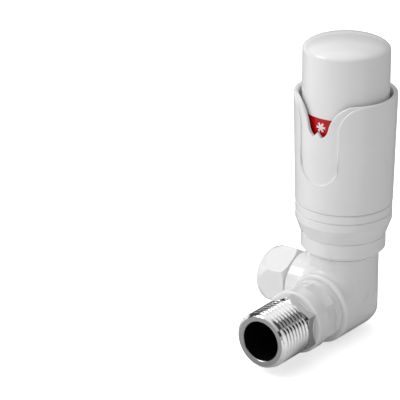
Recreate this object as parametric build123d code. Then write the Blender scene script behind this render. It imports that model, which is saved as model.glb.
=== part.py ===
from build123d import *
import math
import os

# Thermostatic radiator valve of corner pattern, in millimetres, +Z up.
# The head stands upright, the radiator tail leaves along -Y and the pipe along -X.
# Pieces are drawn about the centre, where the head's axis crosses the tail's axis.
# On writing they are moved so that the origin lies on the tail's axis, at the
# shoulder where its thread meets its hexagon: there the valve meets the radiator.
# Screw threads are plain cylinders at the radius of their crests.

# Clearances
thread_play = 0.05          # radial, male thread in its female thread
guide_play = 0.1            # radial, piece that slides or turns in a guide
spindle_play = 0.05         # radial, spindle in its bores
face_play = 0.05            # along the axis, between faces that move past each other
ring_play = 0.05            # round an O-ring in its groove
pipe_play = 0.25            # radial, pipe in the nut

# Threads, crest radius
half_inch_r = 10.4775       # G 1/2, 20.955 mm across the crests
head_thread_r = 12.0        # M24 on the insert, for the head
insert_thread_r = 10.0      # M20 of the insert in the body
gland_thread_r = 5.0        # M10 of the gland nut

# Valve body, heights from the tail's axis and reaches from the head's axis
barrel_r = 13.0
barrel_top = 18.5
heel_offset = 3.4           # straight run past the centre before the heel turns
bend_margin = 0.2           # the soft inside bend ends this far short of the socket's rounding
bend_inset = 0.03           # the bend's tube is this much slimmer than the barrel
socket_reach = 16.0
socket_edge = 1.2
branch_r = 11.3
branch_reach = 17.9
branch_edge = 0.4
branch_lift = 1.0           # the pipe's axis lies this far above the tail's axis
branch_blend = 2.0
waterway_r = 6.25
waterway_back = 6.0         # the seat's hole lies wholly over the straight part
waterway_edge = 1.5
tail_stop = 7.0
socket_thread_start = 11.2
pocket_start = 9.0
chamber_r = 8.5
chamber_floor = 10.5
seat_hole_r = 4.0
seat_rim_r = 4.9
seat_rim_height = 0.8
insert_seat = 13.0
pipe_stop = 8.0
pipe_relief_end = 8.6       # undercut at the bottom of the pipe's bore
pipe_relief_r = 8.3
branch_thread_start = 11.5
port_r = 1.9
port_spread = 5.0           # between the centres of the port's two round ends
port_low = (-9.2, 3.0)      # x and z of a point low on the port's axis
port_high = (-6.9, 10.6)

# Radiator tail, distances from the head's axis
tail_mouth_r = 7.4
tail_bore_r = 5.9
tail_tube_r = 8.5
tail_hex_width = 4.3
tail_hex_flats = 19.8
tail_hex_round_r = 11.2
thread_shoulder = 35.3
tail_thread_length = 15.7
tail_cone_back = 2.3        # the bore's cone starts this far behind the shoulder
tail_cone_run = 3.0
tail_lead_in = 1.2
retaining_ring_start = 9.8
retaining_ring_width = 1.5
retaining_ring_r = 9.4
retaining_ring_split = 1.6
retaining_groove_r = 7.7
tail_seal_centre = 8.0
tail_seal_section_r = 0.7

# Union nut
union_neck_r = 11.2
union_neck_start = 16.05
union_hex_start = 19.5
union_hex_end = 25.0
union_hex_flats = 20.4
union_hex_round_r = 11.5
union_collar_r = 11.7
union_collar_edge = 0.8

# Pipe nut and olive, distances from the head's axis
pipe_r = 7.5                # 15 mm pipe
pipe_nut_inner_end = 12.6
pipe_nut_shoulder = 18.05
pipe_nut_hex_start = 19.3
pipe_nut_hex_end = 26.2
pipe_nut_end = 32.6
pipe_nut_flats = 20.6
pipe_nut_round_r = 11.8
pipe_nut_collar_r = 10.7
pipe_nut_chamfer_run = 0.85
pipe_nut_end_r = 9.0
pipe_nut_end_round = 3.0
olive_r = 9.1
olive_start = 9.6
olive_cylinder_start = 11.6
olive_cylinder_end = 13.4
olive_end = 15.5
olive_bore_play = 0.1
olive_tip = 0.15            # wall left at the olive's thin ends
cone_play = 0.1

# Insert and its closing parts, heights from the tail's axis
insert_flange_top = 23.0
insert_neck_top = 28.0
insert_neck_hex = 14.0
insert_hex_start = 24.5
insert_recess_r = 6.4
insert_recess_top = 17.2
insert_web_top = 18.7
spring_bore_r = 4.2
spring_bore_top = 25.0
insert_groove_low = 16.6
insert_seal_section_r = 0.65
gland_hex = 11.0
gland_top = 30.0
gland_seal_centre = 26.7
gland_seal_section_r = 0.6
spindle_r = 1.75
spindle_top = 31.5
spindle_collar_r = 3.4
spindle_collar_low = 21.6
spindle_collar_top = 22.4
disc_r = 5.35
disc_thickness = 2.0
disc_cup_wall = 0.55
disc_cup_skirt = 1.2
disc_cup_top_wall = 0.8
disc_screw_r = 1.0
disc_screw_head_r = 2.6
disc_screw_head_height = 1.2
disc_screw_length = 5.2
disc_screw_slot_width = 0.6
return_wire_r = 0.3
return_coil_r = 2.75
return_turns = 3.0

# Coupling nut
coupling_r = 15.35
coupling_low = 18.8
coupling_chamfer_top = 20.5
coupling_chamfer_r = 13.4
coupling_top = 25.7
coupling_lip = 1.15
coupling_lip_r = 11.15

# Head base
base_neck_r = 11.0
base_flange_r = 11.8
base_flange_thickness = 1.5
base_belt = 3.0             # height of the base at its full radius
head_r = 17.5
base_shoulder = 34.5
base_neck_bore_r = 8.7
base_wall = 2.0
base_floor_rise = 1.5       # the floor stands this far above the shoulder
base_floor_thickness = 2.0
snap_slot_width = 1.6
snap_slot_top = 26.2
tube_r = 14.7
tube_rise = 1.7             # the tube's top stands this far above the limit ring
sleeve_bead_r = 15.0
sleeve_bead_height = 0.55
guide_r = 12.4
guide_bore_r = 10.9
guide_top = 70.0
guide_slot_width = 4.0
guide_slot_margin = 1.0     # the slots start this far below the carrier
guide_slots = 4
knob_bead_r = 13.3
knob_bead_height = 1.2
boss_r = 5.6
boss_drop = 2.1             # below the floor's top
boss_rise = 3.6             # above the floor's top

# Limit ring and sleeve
limit_ring_height = 3.3
limit_ring_edge = 0.45
sleeve_low_r = 17.6
sleeve_rim_r = 18.6
sleeve_rim = 79.3
sleeve_wall = 1.8
sleeve_foot_edge = 0.7
sleeve_rim_round = 0.6
notch_low = 66.4
notch_half_width = 4.4
notch_flare_low = 70.0
notch_flare_half_width = 12.2
pointer_half_width = 1.7
pointer_height = 2.3
thumb_low = 48.7
thumb_half_width = 8.0
thumb_flare_low = 69.0
thumb_flare_half_width = 15.0
thumb_depth = 0.55

# Handwheel and dial ring
knob_r = 15.7
knob_gap = 0.5              # between the tube's top and the knob's lip
knob_skirt_r = 14.7
knob_inner_r = 13.7
knob_lip_r = 12.9
knob_lip_thickness = 1.2
dial_r = 15.5
dial_low = 58.0
dial_top = 73.2
dial_bead = 0.25
knob_rim = 95.0             # where the dome would meet the wall without its rounding
knob_rim_round = 1.3
knob_top = 99.35
knob_top_wall = 1.8

# Sensor and its carrier
push_pin_r = 3.0
push_pin_head_r = 5.0
push_pin_head_thickness = 1.5
push_pin_rise = 3.4         # from the boss to the top of the pin's head
carrier_r = 10.8
carrier_bore_r = 9.5
carrier_gap = 2.0           # between the pin's head and the carrier
carrier_floor = 1.5
carrier_hole_r = 5.2
carrier_top = 88.0
carrier_rib_rise = 7.0      # the ribs start this far above the carrier's foot
carrier_rib_height = 8.0
carrier_rib_r = 13.6
sensor_r = 9.3
sensor_nose_r = 2.0
sensor_top = 80.0
sensor_round = 1.2
cap_thickness = 2.2
cap_slot_width = 1.4
cap_slot_depth = 1.0
overload_wire_r = 0.8
overload_coil_r = 7.0
overload_turns = 2.5

# Sizes worked out from those above
bend_r = socket_reach - socket_edge - bend_margin
tail_hex_start = thread_shoulder - tail_hex_width
tail_end = thread_shoulder + tail_thread_length
tail_cone_start = thread_shoulder - tail_cone_back
tail_cone_end = tail_cone_start + tail_cone_run
tail_socket_r = tail_tube_r + guide_play
union_front = tail_hex_start - guide_play
union_inner_end = retaining_ring_start + retaining_ring_width
pipe_bore_r = pipe_r + pipe_play
olive_bore_r = pipe_r + olive_bore_play
seat_top = chamber_floor + seat_rim_height
disc_top = seat_top + disc_thickness
cup_top = disc_top + disc_cup_top_wall
lip_low = coupling_top - coupling_lip
base_low = coupling_top + face_play
flange_low = lip_low - face_play - base_flange_thickness
base_flare_top = base_shoulder - base_belt
base_floor = base_shoulder + base_floor_rise
limit_ring_top = base_shoulder + limit_ring_height
tube_top = limit_ring_top + tube_rise
sleeve_bead_low = tube_top - sleeve_bead_height
boss_low = base_floor - boss_drop
boss_top = base_floor + boss_rise
knob_low = tube_top + knob_gap
knob_lip_top = knob_low + knob_lip_thickness
knob_bead_low = knob_lip_top + 2 * guide_play
knob_bead_top = knob_bead_low + knob_bead_height
push_pin_top = boss_top + push_pin_rise
carrier_low = push_pin_top + carrier_gap
carrier_rib_low = carrier_low + carrier_rib_rise
carrier_rib_top = carrier_rib_low + carrier_rib_height
guide_slot_low = carrier_low - guide_slot_margin
cap_low = carrier_top - cap_thickness


def turned(*corners):
    """Solid turned about Z from corners (radius, height) or (radius, height, rounding)."""
    outline = make_face(Polyline(*[(c[0], c[1]) for c in corners], close=True))
    for corner in corners:
        if len(corner) == 3:
            spot = Vector(corner[0], corner[1], 0)
            vertex = min(outline.vertices(), key=lambda v: (Vector(*v) - spot).length)
            outline = fillet(vertex, corner[2])
    return revolve(Plane.XZ * outline, Axis.Z)


def disc(radius, low, high):
    """Plain cylinder on the Z axis between two heights."""
    return Pos(0, 0, low) * extrude(Circle(radius), high - low)


def hexagon(flats, low, high, turn=0):
    """Hexagonal prism on the Z axis; a turn of 0 puts a corner on +X."""
    outline = RegularPolygon(flats / 2, 6, major_radius=False, rotation=turn)
    return Pos(0, 0, low) * extrude(outline, high - low)


def o_ring(centre_r, section_r, height):
    """O-ring about Z."""
    section = Plane.XZ * (Pos(centre_r, height) * Circle(section_r))
    return revolve(section, Axis.Z)


def coil_spring(coil_r, wire_r, low, high, turns):
    """Helical spring about Z that stands between two heights."""
    rise = high - low - 2 * wire_r
    path = Pos(0, 0, low + wire_r) * Helix(rise / turns, rise, coil_r)
    section = Plane(origin=path @ 0, z_dir=path % 0) * Circle(wire_r)
    return sweep(section, path=path, is_frenet=True)


def along_tail(shape):
    """Lay a shape drawn about Z along the tail, heights becoming distances along -Y."""
    return Rot(90, 0, 0) * shape


def along_pipe(shape):
    """Lay a shape drawn about Z along the pipe, heights becoming distances along -X."""
    return Pos(0, 0, branch_lift) * Rot(0, -90, 0) * shape


def heel():
    """Rounded outer corner where the barrel turns into the tail socket."""
    section = Plane.XY * Circle(barrel_r) & Pos(0, heel_offset + barrel_r) * Rectangle(
        2 * barrel_r, 2 * barrel_r)
    turning_axis = Axis((0, heel_offset, 0), (1, 0, 0))
    return Pos(0, 0, -heel_offset) * revolve(section, turning_axis, -90)


def inside_bend():
    """Soft inside corner between the barrel and the tail socket."""
    section = Pos(0, 0, bend_r) * Circle(barrel_r - bend_inset)
    return revolve(section, Axis((0, -bend_r, bend_r), (1, 0, 0)), -90)


def meets_branch(edge):
    """True for the curved edges where the branch runs into the barrel and the socket."""
    middle = edge @ 0.5
    off_axis = math.hypot(middle.Y, middle.Z - branch_lift)
    on_branch = abs(off_axis - branch_r) < 0.02
    return on_branch and middle.X > 2 * branch_edge - branch_reach and edge.geom_type != GeomType.LINE


def body_outside():
    """Cast outside of the body."""
    barrel = disc(barrel_r, -heel_offset, barrel_top)
    socket = along_tail(turned((0, -heel_offset), (barrel_r, -heel_offset),
                               (barrel_r, socket_reach, socket_edge), (0, socket_reach)))
    branch = along_pipe(turned((0, 0), (branch_r, 0), (branch_r, branch_reach, branch_edge),
                               (0, branch_reach)))
    cast = barrel + socket + heel() + branch
    seams = [edge for edge in cast.edges() if meets_branch(edge)]
    return fillet(seams, branch_blend) + inside_bend()


def seat_passage():
    """Chamber over the seat, seat hole and pocket for the insert."""
    chamber = disc(chamber_r, chamber_floor, insert_seat)
    rim = disc(seat_rim_r, chamber_floor, seat_top)
    hole = disc(seat_hole_r, 0, seat_top)
    pocket = disc(insert_thread_r + thread_play, insert_seat, barrel_top)
    return chamber - rim + hole + pocket


def tail_passage():
    """Waterway under the seat, bore for the tail's end and thread for the union nut."""
    return along_tail(turned((0, -waterway_back), (waterway_r, -waterway_back, waterway_edge),
                             (waterway_r, tail_stop), (tail_socket_r, tail_stop),
                             (tail_socket_r, pocket_start),
                             (retaining_ring_r + 2 * guide_play, pocket_start),
                             (retaining_ring_r + 2 * guide_play, socket_thread_start),
                             (half_inch_r + thread_play, socket_thread_start),
                             (half_inch_r + thread_play, socket_reach), (0, socket_reach)))


def pipe_passage():
    """Stop and guide for the pipe, cone for the olive and thread for the pipe nut."""
    cone_low = olive_start - cone_play
    cone_r = olive_r + cone_play
    guide = olive_bore_r + guide_play
    return along_pipe(turned((0, pipe_stop), (pipe_relief_r, pipe_stop),
                             (pipe_relief_r, pipe_relief_end), (guide, pipe_relief_end),
                             (guide, cone_low),
                             (cone_r, olive_cylinder_start - cone_play),
                             (cone_r, branch_thread_start + guide_play),
                             (half_inch_r + thread_play, branch_thread_start + guide_play),
                             (half_inch_r + thread_play, branch_reach), (0, branch_reach)))


def port():
    """Slanted port from the pipe's bore up into the chamber over the seat."""
    low = Vector(port_low[0], 0, port_low[1])
    high = Vector(port_high[0], 0, port_high[1])
    plane = Plane(origin=low, x_dir=(0, 1, 0), z_dir=high - low)
    return extrude(plane * SlotCenterToCenter(port_spread, 2 * port_r), (high - low).length)


def valve_body():
    """White cast body with its waterways."""
    return body_outside() - seat_passage() - tail_passage() - pipe_passage() - port()


def radiator_tail():
    """Chromed union tail: tube for the nut, hexagon, male thread and through bore."""
    groove_end = retaining_ring_start + retaining_ring_width + face_play
    groove_low = retaining_ring_start - face_play
    seal_r = tail_socket_r - ring_play - 2 * tail_seal_section_r - ring_play
    seal_half = tail_seal_section_r + ring_play
    outside = turned((0, tail_stop), (tail_tube_r, tail_stop, 0.2),
                     (tail_tube_r, tail_seal_centre - seal_half),
                     (seal_r, tail_seal_centre - seal_half),
                     (seal_r, tail_seal_centre + seal_half),
                     (tail_tube_r, tail_seal_centre + seal_half),
                     (tail_tube_r, groove_low), (retaining_groove_r, groove_low),
                     (retaining_groove_r, groove_end), (tail_tube_r, groove_end),
                     (tail_tube_r, tail_hex_start),
                     (tail_hex_round_r, tail_hex_start, 0.3),
                     (tail_hex_round_r, thread_shoulder, 0.5), (half_inch_r, thread_shoulder),
                     (half_inch_r, tail_end - tail_lead_in),
                     (half_inch_r - tail_lead_in, tail_end), (0, tail_end))
    flats = (disc(tail_hex_round_r + 1, tail_hex_start, thread_shoulder)
             - hexagon(tail_hex_flats, tail_hex_start, thread_shoulder, 30))
    bore = turned((0, tail_stop), (tail_bore_r, tail_stop), (tail_bore_r, tail_cone_start),
                  (tail_mouth_r, tail_cone_end), (tail_mouth_r, tail_end), (0, tail_end))
    return along_tail(outside - flats - bore)


def tail_retaining_ring():
    """Split ring in the tail's groove, which the union nut pushes on."""
    ring = (disc(retaining_ring_r, retaining_ring_start, retaining_ring_start + retaining_ring_width)
            - disc(retaining_groove_r + face_play, 0, tail_end))
    split = Pos(0, -retaining_ring_r, retaining_ring_start) * Box(
        retaining_ring_split, retaining_ring_r, 2 * retaining_ring_width)
    return along_tail(ring - split)


def tail_o_ring():
    """Rubber ring that seals the tail's end in the body."""
    centre_r = tail_socket_r - ring_play - tail_seal_section_r
    return along_tail(o_ring(centre_r, tail_seal_section_r, tail_seal_centre))


def union_nut():
    """Nut that draws the tail into the body: thread, neck, six flats and round collar."""
    outside = turned((0, union_inner_end), (half_inch_r, union_inner_end, 0.5),
                     (half_inch_r, union_neck_start), (union_neck_r, union_neck_start, 0.2),
                     (union_neck_r, union_hex_start), (union_hex_round_r, union_hex_start, 0.15),
                     (union_hex_round_r, union_hex_end),
                     (union_collar_r, union_hex_end, 0.15),
                     (union_collar_r, union_front, union_collar_edge), (0, union_front))
    flats = (disc(union_collar_r + 1, union_hex_start, union_hex_end)
             - hexagon(union_hex_flats, union_hex_start, union_hex_end, 30))
    bore = disc(tail_tube_r + guide_play, 0, tail_end)
    return along_tail(outside - flats - bore)


def pipe_nut():
    """Compression nut: thread, chamfered hexagon and rounded outer end."""
    cone_r = olive_r + cone_play
    chamfer_end = pipe_nut_hex_start + pipe_nut_chamfer_run
    outside = turned((0, pipe_nut_inner_end), (half_inch_r, pipe_nut_inner_end, 0.5),
                     (half_inch_r, pipe_nut_shoulder),
                     (pipe_nut_collar_r, pipe_nut_shoulder),
                     (pipe_nut_collar_r, pipe_nut_hex_start),
                     (pipe_nut_round_r, chamfer_end), (pipe_nut_round_r, pipe_nut_hex_end),
                     (pipe_nut_end_r, pipe_nut_end, pipe_nut_end_round), (0, pipe_nut_end))
    flats = (disc(pipe_nut_round_r + 1, pipe_nut_hex_start, pipe_nut_end)
             - hexagon(pipe_nut_flats, pipe_nut_hex_start, pipe_nut_end))
    bore = turned((0, pipe_nut_inner_end), (cone_r, pipe_nut_inner_end),
                  (cone_r, olive_cylinder_end + cone_play), (pipe_bore_r, olive_end + 2 * cone_play),
                  (pipe_bore_r, pipe_nut_end), (0, pipe_nut_end))
    return along_pipe(outside - flats - bore)


def olive():
    """Brass compression ring with a cone at each end."""
    tip_r = olive_bore_r + olive_tip
    return along_pipe(turned((olive_bore_r, olive_start), (tip_r, olive_start),
                             (olive_r, olive_cylinder_start, 0.3),
                             (olive_r, olive_cylinder_end, 0.3), (tip_r, olive_end),
                             (olive_bore_r, olive_end)))


def insert_bonnet():
    """Brass cartridge in the body's top: outer thread for the head, bore for the spindle."""
    groove_r = insert_thread_r - 2 * insert_seal_section_r - ring_play
    groove_top = insert_groove_low + 2 * (insert_seal_section_r + ring_play)
    outside = turned((0, insert_seat), (insert_thread_r, insert_seat, 0.4),
                     (insert_thread_r, insert_groove_low), (groove_r, insert_groove_low),
                     (groove_r, groove_top), (insert_thread_r, groove_top),
                     (insert_thread_r, barrel_top), (head_thread_r, barrel_top, 0.4),
                     (head_thread_r, insert_flange_top, 0.4),
                     (insert_neck_hex / 2, insert_flange_top),
                     (insert_neck_hex / 2, insert_neck_top), (0, insert_neck_top))
    spanner_hex = (hexagon(insert_neck_hex, insert_hex_start, insert_neck_top)
                   & turned((0, insert_hex_start), (base_neck_bore_r, insert_hex_start),
                            (base_neck_bore_r, insert_neck_top, 0.8), (0, insert_neck_top)))
    bore = turned((0, insert_seat), (insert_recess_r, insert_seat),
                  (insert_recess_r, insert_recess_top, 0.4),
                  (spindle_r + spindle_play, insert_recess_top),
                  (spindle_r + spindle_play, insert_web_top), (spring_bore_r, insert_web_top),
                  (spring_bore_r, spring_bore_top),
                  (gland_thread_r + thread_play, spring_bore_top),
                  (gland_thread_r + thread_play, insert_neck_top), (0, insert_neck_top))
    return outside + spanner_hex - bore


def insert_o_ring():
    """Rubber ring that seals the insert in the body."""
    centre_height = insert_groove_low + insert_seal_section_r + ring_play
    return o_ring(insert_thread_r - insert_seal_section_r, insert_seal_section_r, centre_height)


def gland_nut():
    """Brass nut over the spindle's seal."""
    seal_outer = spindle_r + 2 * (ring_play + gland_seal_section_r)
    seal_half = gland_seal_section_r + ring_play
    thread = disc(gland_thread_r, spring_bore_top, insert_neck_top)
    head = (hexagon(gland_hex, insert_neck_top, gland_top)
            & turned((0, insert_neck_top), (gland_hex, insert_neck_top),
                     (gland_hex * 0.5, gland_top), (0, gland_top)))
    bore = disc(spindle_r + spindle_play, 0, gland_top)
    groove = disc(seal_outer, gland_seal_centre - seal_half, gland_seal_centre + seal_half)
    return thread + head - bore - groove


def spindle_o_ring():
    """Rubber ring round the spindle, inside the gland nut."""
    return o_ring(spindle_r + ring_play + gland_seal_section_r, gland_seal_section_r,
                  gland_seal_centre)


def spindle():
    """Steel spindle with its spring collar, bored below for the disc's screw."""
    rod = turned((0, cup_top), (spindle_r, cup_top), (spindle_r, spindle_collar_low),
                 (spindle_collar_r, spindle_collar_low, 0.15),
                 (spindle_collar_r, spindle_collar_top, 0.15), (spindle_r, spindle_collar_top),
                 (spindle_r, spindle_top, 0.4), (0, spindle_top))
    screw_top = seat_top + disc_screw_length
    return rod - disc(disc_screw_r + thread_play, 0, screw_top + guide_play)


def disc_cup():
    """Brass cup that backs the closing disc."""
    outer_r = disc_r + disc_cup_wall
    cup = turned((0, disc_top - disc_cup_skirt), (outer_r, disc_top - disc_cup_skirt),
                 (outer_r, cup_top, 0.3), (0, cup_top))
    return cup - disc(disc_r, 0, disc_top) - disc(disc_screw_r + thread_play, 0, cup_top)


def disc_seal():
    """Rubber disc that closes on the seat's rim."""
    blank = turned((0, seat_top), (disc_r, seat_top, 0.3), (disc_r, disc_top), (0, disc_top))
    return blank - disc(disc_screw_r + thread_play, 0, disc_top)


def disc_screw():
    """Screw that holds the disc and its cup to the spindle."""
    head_low = seat_top - disc_screw_head_height
    shank = disc(disc_screw_r, seat_top, seat_top + disc_screw_length)
    head = turned((0, head_low), (disc_screw_head_r, head_low, 0.5),
                  (disc_screw_head_r, seat_top), (0, seat_top))
    slot = Pos(0, 0, head_low) * Box(2 * disc_screw_head_r, disc_screw_slot_width,
                                     disc_screw_head_height * 0.8)
    return shank + head - slot


def return_spring():
    """Spring that lifts the disc off its seat."""
    return coil_spring(return_coil_r, return_wire_r, insert_web_top, spindle_collar_low,
                       return_turns)


def coupling_nut():
    """White nut that holds the head on the insert."""
    outside = turned((0, coupling_low), (coupling_chamfer_r, coupling_low, 0.3),
                     (coupling_r, coupling_chamfer_top, 0.3), (coupling_r, coupling_top, 0.25),
                     (0, coupling_top))
    bore = turned((0, coupling_low), (head_thread_r + thread_play, coupling_low),
                  (head_thread_r + thread_play, lip_low), (coupling_lip_r, lip_low),
                  (coupling_lip_r, coupling_top), (0, coupling_top))
    return outside - bore


def snap_slots():
    """Slots that let the base's snap neck spring into the coupling nut."""
    low = flange_low
    blade = Pos(0, 0, (low + snap_slot_top) / 2) * Box(2 * base_flange_r + 1, snap_slot_width,
                                                       snap_slot_top - low)
    return blade + Rot(0, 0, 90) * blade


def guide_cuts():
    """Slots in the guide tube, one for each rib of the carrier."""
    height = guide_top - guide_slot_low
    middle = (guide_bore_r + guide_r) / 2
    through = 2 * (guide_r - guide_bore_r)
    cut = Pos(middle, 0, guide_slot_low + height / 2) * Box(through, guide_slot_width, height)
    return [Rot(0, 0, 45 + 360 / guide_slots * n) * cut for n in range(guide_slots)]


def head_base():
    """Flared base with its snap neck, and the slotted guide tube that stands in the knob."""
    outside = turned((0, flange_low), (base_flange_r, flange_low, 0.3),
                     (base_flange_r, flange_low + base_flange_thickness),
                     (base_neck_r, flange_low + base_flange_thickness), (base_neck_r, base_low),
                     (coupling_r, base_low, 0.3), (head_r, base_flare_top),
                     (head_r, base_shoulder, limit_ring_edge),
                     (tube_r, base_shoulder), (tube_r, sleeve_bead_low),
                     (sleeve_bead_r, sleeve_bead_low), (sleeve_bead_r, tube_top, 0.2),
                     (guide_r, tube_top), (guide_r, knob_bead_low),
                     (knob_bead_r, knob_bead_low), (knob_bead_r, knob_bead_top, 0.5),
                     (guide_r, knob_bead_top), (guide_r, guide_top), (0, guide_top))
    floor_low = base_floor - base_floor_thickness
    hollow = turned((0, flange_low), (base_neck_bore_r, flange_low),
                    (base_neck_bore_r, base_low + base_wall),
                    (coupling_r - base_wall, base_low + base_wall + 0.6),
                    (head_r - base_wall - 0.5, base_flare_top),
                    (head_r - base_wall - 0.5, base_shoulder - base_wall),
                    (tube_r - base_wall, floor_low - 1.0), (tube_r - base_wall, floor_low),
                    (0, floor_low))
    boss = disc(boss_r, boss_low, boss_top)
    well = disc(guide_bore_r, base_floor, guide_top)
    pin_hole = disc(push_pin_r + guide_play, 0, guide_top)
    return outside - hollow - well + boss - pin_hole - guide_cuts() - snap_slots()


def limit_ring():
    """Ring between the base and the sleeve, rounded to a groove at each side."""
    ring = turned((0, base_shoulder), (head_r, base_shoulder, limit_ring_edge),
                  (head_r, limit_ring_top, limit_ring_edge), (0, limit_ring_top))
    return ring - disc(tube_r + guide_play, 0, guide_top)


def sleeve_shell():
    """Tapered sleeve before its notch is cut."""
    flange_top = sleeve_bead_low - face_play
    slope = (sleeve_rim_r - sleeve_low_r) / (sleeve_rim - limit_ring_top)
    inner_low_r = sleeve_low_r + slope * (flange_top - limit_ring_top) - sleeve_wall
    return turned((tube_r + guide_play, limit_ring_top), (sleeve_low_r, limit_ring_top, sleeve_foot_edge),
                  (sleeve_rim_r, sleeve_rim, sleeve_rim_round),
                  (sleeve_rim_r - sleeve_wall, sleeve_rim, sleeve_rim_round),
                  (inner_low_r, flange_top, 0.8), (tube_r + guide_play, flange_top))


def window_prism(low, half_width, flare_low, flare_half_width, top, depth):
    """Prism through the sleeve's front: round bottom, straight sides, flared top."""
    centre = low + half_width
    outline = (ThreePointArc((-half_width, centre), (0, low), (half_width, centre))
               + Line((half_width, centre), (half_width, flare_low))
               + Spline((half_width, flare_low), (flare_half_width, top),
                        tangents=[(0, 1), (1, 0.25)])
               + Line((flare_half_width, top), (flare_half_width, top + 2))
               + Line((flare_half_width, top + 2), (-flare_half_width, top + 2))
               + Line((-flare_half_width, top + 2), (-flare_half_width, top))
               + Spline((-flare_half_width, top), (-half_width, flare_low),
                        tangents=[(1, -0.25), (0, -1)])
               + Line((-half_width, flare_low), (-half_width, centre)))
    return extrude(Plane.XZ * make_face(outline), depth)


def head_sleeve():
    """Fixed outer sleeve with its notch, pointer tooth and shallow thumb recess."""
    notch = window_prism(notch_low, notch_half_width, notch_flare_low,
                         notch_flare_half_width, sleeve_rim, 2 * sleeve_rim_r)
    tooth = extrude(Plane.XZ * make_face(Polyline(
        (-pointer_half_width, notch_low - 0.5), (pointer_half_width, notch_low - 0.5),
        (pointer_half_width, notch_low + 0.1), (0, notch_low + pointer_height),
        (-pointer_half_width, notch_low + 0.1), close=True)), 2 * sleeve_rim_r)
    thumb = window_prism(thumb_low, thumb_half_width, thumb_flare_low,
                         thumb_flare_half_width, sleeve_rim, 2 * sleeve_rim_r)
    skin = (turned((0, limit_ring_top), (sleeve_low_r + 1, limit_ring_top),
                   (sleeve_rim_r + 1, sleeve_rim + 1), (0, sleeve_rim + 1))
            - turned((0, limit_ring_top), (sleeve_low_r - thumb_depth, limit_ring_top),
                     (sleeve_rim_r - thumb_depth, sleeve_rim), (sleeve_rim_r - thumb_depth, sleeve_rim + 1),
                     (0, sleeve_rim + 1)))
    return sleeve_shell() - (notch - tooth) - (thumb & skin)


def under_dome(corners, rim_r, rim, top):
    """Face up to a dome: straight corners (radius, height), then an arc from rim to top."""
    wall = Polyline(*corners, (rim_r, rim))
    dome = TangentArc((0, top), (rim_r, rim), tangent=(1, 0))
    return make_face(wall + dome + Line((0, top), corners[0]))


def handwheel():
    """Hollow knob with a domed top and a lip that snaps under the base's bead."""
    bead_top = dial_low - face_play
    outline = under_dome([(0, knob_low), (knob_skirt_r, knob_low),
                          (knob_skirt_r, bead_top - 0.8), (knob_skirt_r + dial_bead, bead_top - 0.4),
                          (knob_skirt_r, bead_top), (knob_skirt_r, dial_top), (knob_r, dial_top)],
                         knob_r, knob_rim, knob_top)
    edge = min(outline.vertices(), key=lambda v: (Vector(*v) - Vector(knob_r, knob_rim)).length)
    outside = revolve(Plane.XZ * fillet(edge, knob_rim_round), Axis.Z)
    hollow = under_dome([(0, knob_low), (knob_lip_r, knob_low), (knob_lip_r, knob_lip_top),
                         (knob_inner_r, knob_lip_top)],
                        knob_inner_r, knob_rim - knob_top_wall, knob_top - knob_top_wall)
    return outside - revolve(Plane.XZ * hollow, Axis.Z)


def scale_ring():
    """Red dial ring round the knob's skirt."""
    ring = turned((0, dial_low), (dial_r, dial_low, 0.2), (dial_r, dial_top), (0, dial_top))
    return ring - disc(knob_skirt_r + face_play, 0, dial_top)


def push_pin():
    """Plastic pin between the sensor's nose and the spindle."""
    head_low = push_pin_top - push_pin_head_thickness
    return turned((0, spindle_top), (push_pin_r, spindle_top, 0.8), (push_pin_r, head_low),
                  (push_pin_head_r, head_low, 0.3), (push_pin_head_r, push_pin_top, 0.3),
                  (0, push_pin_top))


def sensor_capsule():
    """Sealed sensor with the nose that pushes the pin."""
    low = carrier_low + carrier_floor
    return turned((0, push_pin_top), (sensor_nose_r, push_pin_top, 0.4), (sensor_nose_r, low),
                  (sensor_r, low, sensor_round), (sensor_r, sensor_top, sensor_round),
                  (0, sensor_top))


def sensor_carrier():
    """Cup that holds the sensor; its ribs ride in the guide's slots and in the knob's thread."""
    cup = (disc(carrier_r, carrier_low, carrier_top)
           - disc(carrier_bore_r, carrier_low + carrier_floor, carrier_top)
           - disc(carrier_hole_r, 0, carrier_top))
    width = guide_slot_width - 2 * guide_play
    reach = carrier_rib_r - carrier_bore_r - 0.5
    rib = Pos(carrier_rib_r - reach / 2, 0, (carrier_rib_low + carrier_rib_top) / 2) * Box(
        reach, width, carrier_rib_top - carrier_rib_low)
    rib = rib & disc(carrier_rib_r, carrier_rib_low, carrier_rib_top)
    for n in range(guide_slots):
        cup += Rot(0, 0, 45 + 360 / guide_slots * n) * rib
    return cup


def carrier_cap():
    """Slotted cap that closes the carrier over the overload spring."""
    slot = Pos(0, 0, carrier_top) * Box(2 * carrier_bore_r, cap_slot_width, 2 * cap_slot_depth)
    return disc(carrier_bore_r - thread_play, cap_low, carrier_top) - slot


def overload_spring():
    """Strong spring that gives way when the sensor pushes on a closed valve."""
    return coil_spring(overload_coil_r, overload_wire_r, sensor_top, cap_low, overload_turns)


makers = [radiator_tail, tail_retaining_ring, tail_o_ring, union_nut, valve_body, pipe_nut, olive,
          insert_bonnet, insert_o_ring, gland_nut, spindle_o_ring, spindle, disc_cup, disc_seal,
          disc_screw, return_spring, coupling_nut, head_base, limit_ring, head_sleeve, handwheel,
          scale_ring, push_pin, sensor_capsule, sensor_carrier, carrier_cap, overload_spring]

os.makedirs("parts", exist_ok=True)
for maker in makers:
    piece = Pos(0, thread_shoulder, 0) * maker()
    export_step(piece, f"parts/{maker.__name__}.step")
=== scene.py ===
"""Looks of the corner thermostatic radiator valve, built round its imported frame.

The pieces whose solids are already right keep their meshes and get their finishes here. The
radiator tail is made again with its real thread, the pipe nut with the groove behind its hexagon,
the knob with its flat crown and the sleeve with its soft edges. The dial gets its printed marks.
"""

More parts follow.
